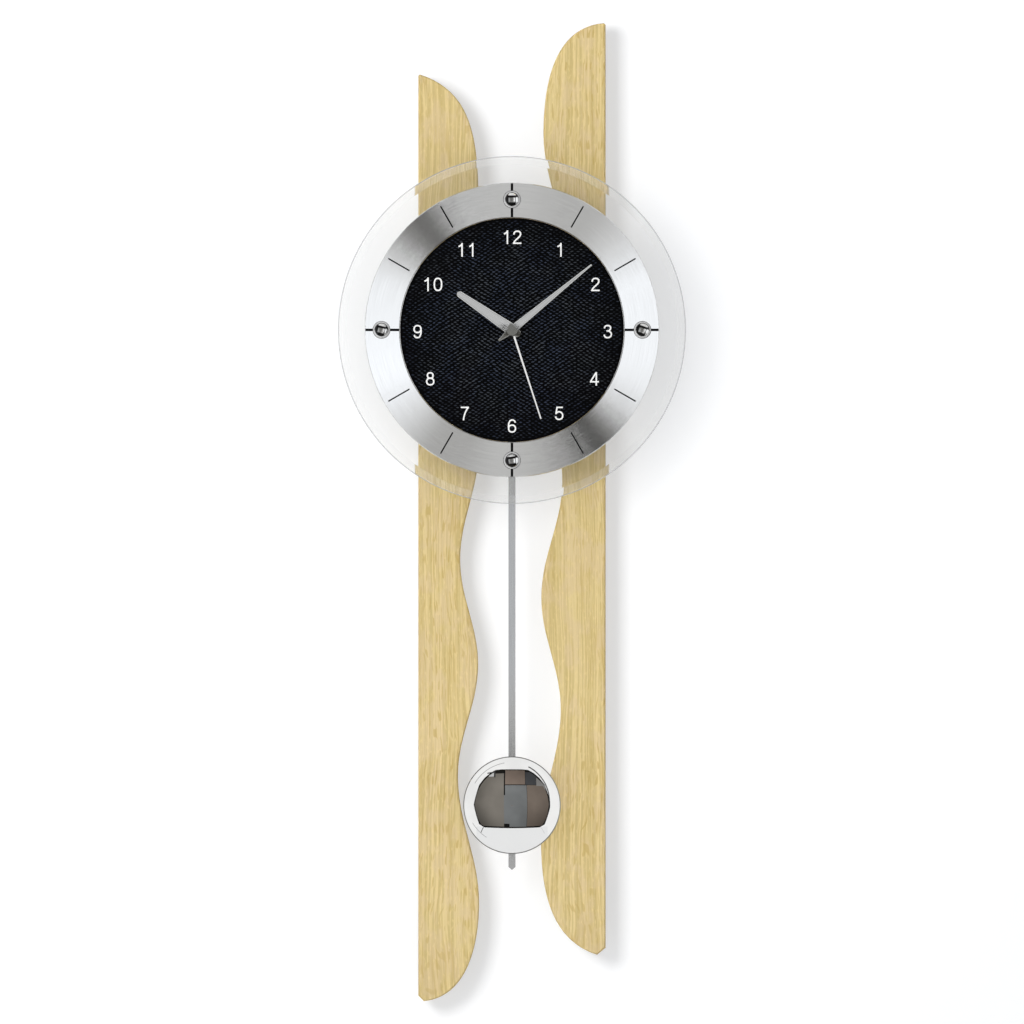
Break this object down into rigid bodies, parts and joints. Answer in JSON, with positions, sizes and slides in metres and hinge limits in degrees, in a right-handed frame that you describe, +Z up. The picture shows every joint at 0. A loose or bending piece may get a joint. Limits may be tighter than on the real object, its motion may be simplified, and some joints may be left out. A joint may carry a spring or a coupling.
{
  "type": "pendulum wall clock",
  "caption": "Wall clock: a round black dial on a bevelled glass disc, carried by two wave-cut wooden boards, with a swinging pendulum and domed bob below.",
  "frame": {"origin": "centre of the keyhole's round entry, on the wall plane", "axes": "+Z up along the boards, +Y into the wall along the keyhole's axis, +X to the viewer's right; the dial faces -Y"},
  "size_m": [0.248, 0.0654, 0.6996],
  "materials": {
    "birch": "clear satin varnish, fine straight grain",
    "rail_wood": "raw sanded birch",
    "zinc_steel": "zinc plated",
    "rubber": "matte",
    "standoff_aluminium": "turned, satin",
    "bond": "clear bonding foam",
    "glass": "polished float glass with a bevelled rim",
    "dial_black": "embossed leather-look film",
    "ring_aluminium": "circular brushed",
    "mark_black": "black filled engraving",
    "chrome": "mirror polished",
    "collar_aluminium": "polished",
    "case_plastic": "fine moulded texture",
    "brass": "machined",
    "black_metal": "black",
    "gear_plastic": "natural acetal",
    "copper": "enamelled copper winding",
    "circuit_green": "solder mask",
    "crystal_steel": "satin can",
    "battery_wrap": "plain two-tone sleeve",
    "magnet": "nickel plated",
    "hand_steel": "satin, bevelled edge",
    "numeral_white": "pad-printed",
    "rod_steel": "satin"
  },
  "bodies": {
    "clock": {"left_board": "birch", "right_board": "birch", "upper_rail": "rail_wood", "lower_rail": "rail_wood", "hanger_plate": "zinc_steel", "hanger_screws": "zinc_steel", "frame_screws": "zinc_steel", "rail_screws": "zinc_steel", "case_screws": "zinc_steel", "index_nuts": "zinc_steel", "pendulum_pin": "zinc_steel", "stator": "zinc_steel", "wall_bumper_left": "rubber", "wall_bumper_right": "rubber", "movement_gasket": "rubber", "standoff_upper_left": "standoff_aluminium", "standoff_upper_right": "standoff_aluminium", "standoff_lower_left": "standoff_aluminium", "standoff_lower_right": "standoff_aluminium", "bonding_pads": "bond", "glass_disc": "glass", "dial_plate": "dial_black", "dial_ring": "ring_aluminium", "hour_marks": "mark_black", "index_ball_12": "chrome", "index_ball_3": "chrome", "index_ball_6": "chrome", "index_ball_9": "chrome", "index_collars": "collar_aluminium", "movement_case": "case_plastic", "movement_cover": "case_plastic", "negative_contact": "brass", "positive_contact": "brass", "threaded_bush": "black_metal", "dial_washer": "black_metal", "dial_nut": "black_metal", "motor_coil": "copper", "drive_coil": "copper", "circuit_board": "circuit_green", "quartz_crystal": "crystal_steel"},
    "seconds": {"second_wheel": "gear_plastic", "second_hand": "hand_steel"},
    "fifth": {"fifth_wheel": "gear_plastic"},
    "rotor_body": {"rotor": "gear_plastic"},
    "third": {"third_wheel": "gear_plastic"},
    "centre": {"centre_wheel": "gear_plastic"},
    "minutes": {"cannon_pinion": "brass", "minute_hand": "hand_steel"},
    "motion": {"motion_wheel": "gear_plastic"},
    "setting": {"setting_knob": "case_plastic"},
    "hours": {"hour_wheel": "gear_plastic", "hour_hand": "hand_steel"},
    "cell": {"battery": "battery_wrap"},
    "pendulum": {"pendulum_arm": "case_plastic", "pendulum_magnet": "magnet", "pendulum_rod": "rod_steel", "bob_clip": "rod_steel", "bob_back": "rod_steel", "bob_shell": "chrome"}
  },
  "joints": [
    {"name": "second_hand_turn", "type": "hinge", "parent": "clock", "child": "seconds", "pos_m": [0, -0.038, -0.07], "axis": [0, 1, 0], "continuous": true},
    {"name": "fifth_wheel_turn", "type": "hinge", "parent": "clock", "child": "fifth", "pos_m": [0.00909, -0.038, -0.07525], "axis": [0, 1, 0], "continuous": true},
    {"name": "rotor_turn", "type": "hinge", "parent": "clock", "child": "rotor_body", "pos_m": [0.01779, -0.038, -0.07758], "axis": [0, 1, 0], "continuous": true},
    {"name": "third_wheel_turn", "type": "hinge", "parent": "clock", "child": "third", "pos_m": [0, -0.038, -0.05623], "axis": [0, 1, 0], "continuous": true},
    {"name": "centre_wheel_turn", "type": "hinge", "parent": "clock", "child": "centre", "pos_m": [0, -0.038, -0.07], "axis": [0, 1, 0], "continuous": true},
    {"name": "minute_hand_turn", "type": "hinge", "parent": "clock", "child": "minutes", "pos_m": [0, -0.038, -0.07], "axis": [0, 1, 0], "continuous": true},
    {"name": "motion_wheel_turn", "type": "hinge", "parent": "clock", "child": "motion", "pos_m": [-0.0105, -0.038, -0.07], "axis": [0, 1, 0], "continuous": true},
    {"name": "setting_knob_turn", "type": "hinge", "parent": "clock", "child": "setting", "pos_m": [-0.021, -0.038, -0.07], "axis": [0, 1, 0], "continuous": true},
    {"name": "hour_hand_turn", "type": "hinge", "parent": "clock", "child": "hours", "pos_m": [0, -0.038, -0.07], "axis": [0, 1, 0], "continuous": true},
    {"name": "pendulum_swing", "type": "hinge", "parent": "clock", "child": "pendulum", "pos_m": [0, -0.0378, -0.119], "axis": [0, 1, 0], "range_deg": [-6.5, 6.5]},
    {"name": "battery_slide", "type": "slide", "parent": "clock", "child": "cell", "axis": [0, 1, 0], "range_m": [0, 0.045]}
  ],
  "couplings": [
    {"joint": "fifth_wheel_turn", "follows": "second_hand_turn", "ratio": -6},
    {"joint": "rotor_turn", "follows": "second_hand_turn", "ratio": 30},
    {"joint": "third_wheel_turn", "follows": "second_hand_turn", "ratio": -0.13333},
    {"joint": "centre_wheel_turn", "follows": "second_hand_turn", "ratio": 0.016667},
    {"joint": "motion_wheel_turn", "follows": "minute_hand_turn", "ratio": -0.33333},
    {"joint": "setting_knob_turn", "follows": "minute_hand_turn", "ratio": 1},
    {"joint": "hour_hand_turn", "follows": "minute_hand_turn", "ratio": 0.083333}
  ]
}
